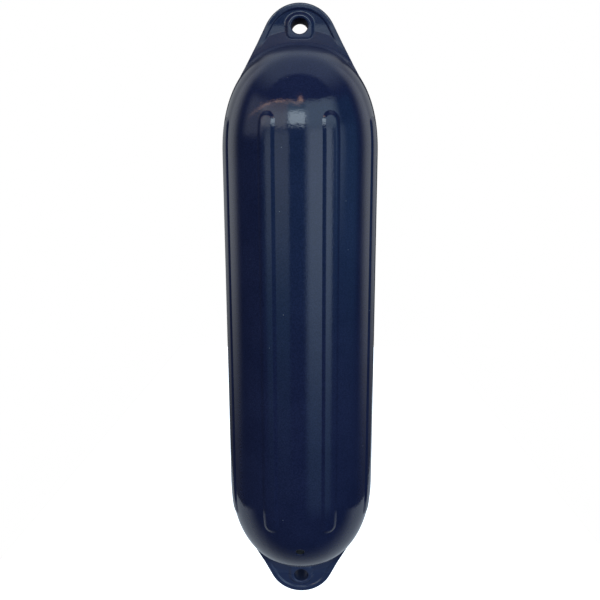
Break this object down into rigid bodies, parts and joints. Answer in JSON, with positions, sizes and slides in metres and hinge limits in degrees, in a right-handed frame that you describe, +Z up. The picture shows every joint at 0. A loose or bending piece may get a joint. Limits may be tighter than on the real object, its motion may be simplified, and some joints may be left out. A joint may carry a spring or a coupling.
{
  "type": "boat fender",
  "caption": "Inflatable cylindrical boat fender in navy vinyl, with long ribs, full domed ends, a rimmed lug with a rope eye at each end and a screw air valve.",
  "frame": {"origin": "middle of the upper rope eye's bore, which the fender hangs from", "axes": "+Z up along the fender's axis, -Y out of the front, where the air valve is, +X across the flat lugs"},
  "size_m": [0.15, 0.15, 0.601],
  "materials": {
    "navy_vinyl": "semi-gloss moulded vinyl with a fine grain",
    "black_nylon": "satin moulded nylon",
    "grey_nylon": "satin moulded nylon",
    "seal_rubber": "matt"
  },
  "bodies": {
    "root": {"fender_body": "navy_vinyl", "valve_insert": "black_nylon", "valve_screw": "grey_nylon", "valve_seal": "seal_rubber"}
  },
  "joints": []
}
